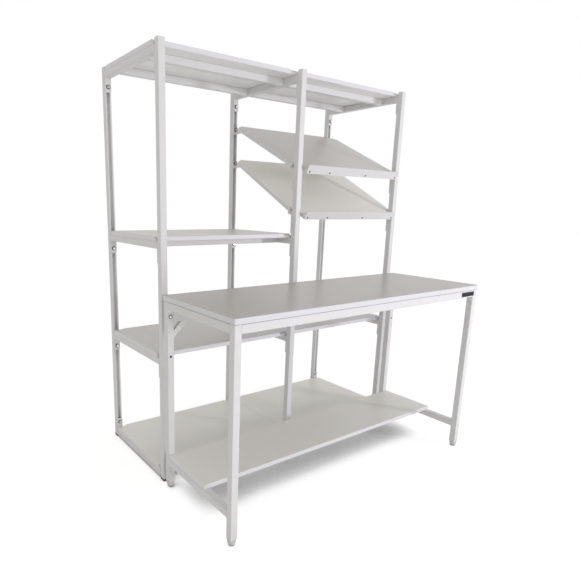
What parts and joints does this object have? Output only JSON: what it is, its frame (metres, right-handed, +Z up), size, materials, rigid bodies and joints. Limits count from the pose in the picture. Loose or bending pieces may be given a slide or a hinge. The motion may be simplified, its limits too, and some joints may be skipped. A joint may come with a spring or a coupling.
{
  "type": "lab bench with reagent shelf",
  "caption": "White lab bench with a half-depth lower shelf in front of a two-bay slotted-post rack with flat shelves and tilted reagent shelves.",
  "frame": {"origin": "middle of the footprint's bounding box, on the floor", "axes": "+X along the bench to the right, +Y from the bench's front to the rack's rear, +Z up"},
  "size_m": [1.5784, 1.1722, 1.942],
  "materials": {
    "frame": "white powder coat",
    "board": "light grey laminate on board with a white edge",
    "worktop": "light grey laminate on board with a white edge band",
    "bracket": "white powder coat",
    "foot": "light grey plastic"
  },
  "bodies": {
    "frame": {"beam_frame_low_left": "frame", "beam_frame_low_right": "frame", "beam_frame_mid_left": "frame", "beam_frame_top_left": "frame", "beam_frame_top_right": "frame", "bench_apron_front": "frame", "bench_apron_left": "frame", "bench_apron_rear": "frame", "bench_apron_right": "frame", "bench_leg_front_left": "frame", "bench_leg_front_right": "frame", "bench_leg_rear_left": "frame", "bench_leg_rear_right": "frame", "bench_shelf": "board", "bench_stretcher_left": "frame", "bench_stretcher_right": "frame", "knee_brace_left": "frame", "knee_brace_right": "frame", "post_front_left": "frame", "post_front_middle": "frame", "post_front_right": "frame", "post_rear_left": "frame", "post_rear_middle": "frame", "post_rear_right": "frame", "rail_bottom_left": "frame", "rail_bottom_middle": "frame", "rail_bottom_right": "frame", "rail_low_left": "frame", "rail_low_middle": "frame", "rail_low_right": "frame", "rail_mid_left": "frame", "rail_mid_middle": "frame", "rail_top_left": "frame", "rail_top_middle": "frame", "rail_top_right": "frame", "shelf_bottom_left": "board", "shelf_bottom_right": "board", "shelf_low_left": "board", "shelf_low_right": "board", "shelf_mid_left": "board", "shelf_top_left": "board", "shelf_top_right": "board", "tilt_front_bracket_lower_middle": "bracket", "tilt_front_bracket_lower_right": "bracket", "tilt_front_bracket_upper_middle": "bracket", "tilt_front_bracket_upper_right": "bracket", "worktop": "worktop"},
    "tilted_shelf_upper": {"tilt_shelf_upper": "board", "tilt_lip_upper": "frame"},
    "rear_bracket_upper_middle": {"tilt_rear_bracket_upper_middle": "bracket"},
    "rear_bracket_upper_right": {"tilt_rear_bracket_upper_right": "bracket"},
    "tilted_shelf_lower": {"tilt_shelf_lower": "board", "tilt_lip_lower": "frame"},
    "rear_bracket_lower_middle": {"tilt_rear_bracket_lower_middle": "bracket"},
    "rear_bracket_lower_right": {"tilt_rear_bracket_lower_right": "bracket"},
    "foot_front_left": {"levelling_foot_front_left": "foot"},
    "foot_front_right": {"levelling_foot_front_right": "foot"},
    "foot_rear_left": {"levelling_foot_rear_left": "foot"},
    "foot_rear_right": {"levelling_foot_rear_right": "foot"}
  },
  "joints": [
    {"name": "tilt_upper", "type": "hinge", "parent": "frame", "child": "tilted_shelf_upper", "pos_m": [0.39655, 0.04775, 1.4876], "axis": [1, 0, 0], "range_deg": [-4, 4]},
    {"name": "slide_upper_middle", "type": "slide", "parent": "frame", "child": "rear_bracket_upper_middle", "axis": [0, 0, 1], "range_m": [-0.04, 0.04]},
    {"name": "slide_upper_right", "type": "slide", "parent": "frame", "child": "rear_bracket_upper_right", "axis": [0, 0, 1], "range_m": [-0.04, 0.04]},
    {"name": "tilt_lower", "type": "hinge", "parent": "frame", "child": "tilted_shelf_lower", "pos_m": [0.39655, 0.04775, 1.2662], "axis": [1, 0, 0], "range_deg": [-4, 4]},
    {"name": "slide_lower_middle", "type": "slide", "parent": "frame", "child": "rear_bracket_lower_middle", "axis": [0, 0, 1], "range_m": [-0.042, 0.042]},
    {"name": "slide_lower_right", "type": "slide", "parent": "frame", "child": "rear_bracket_lower_right", "axis": [0, 0, 1], "range_m": [-0.042, 0.042]},
    {"name": "level_front_left", "type": "slide", "parent": "frame", "child": "foot_front_left", "axis": [0, 0, -1], "range_m": [0, 0.012]},
    {"name": "level_front_right", "type": "slide", "parent": "frame", "child": "foot_front_right", "axis": [0, 0, -1], "range_m": [0, 0.012]},
    {"name": "level_rear_left", "type": "slide", "parent": "frame", "child": "foot_rear_left", "axis": [0, 0, -1], "range_m": [0, 0.012]},
    {"name": "level_rear_right", "type": "slide", "parent": "frame", "child": "foot_rear_right", "axis": [0, 0, -1], "range_m": [0, 0.012]}
  ],
  "couplings": [
    {"joint": "slide_upper_middle", "follows": "tilt_upper", "m_per_rad": 0.56117},
    {"joint": "slide_upper_right", "follows": "tilt_upper", "m_per_rad": 0.56117},
    {"joint": "slide_lower_middle", "follows": "tilt_lower", "m_per_rad": 0.5958},
    {"joint": "slide_lower_right", "follows": "tilt_lower", "m_per_rad": 0.5958}
  ]
}
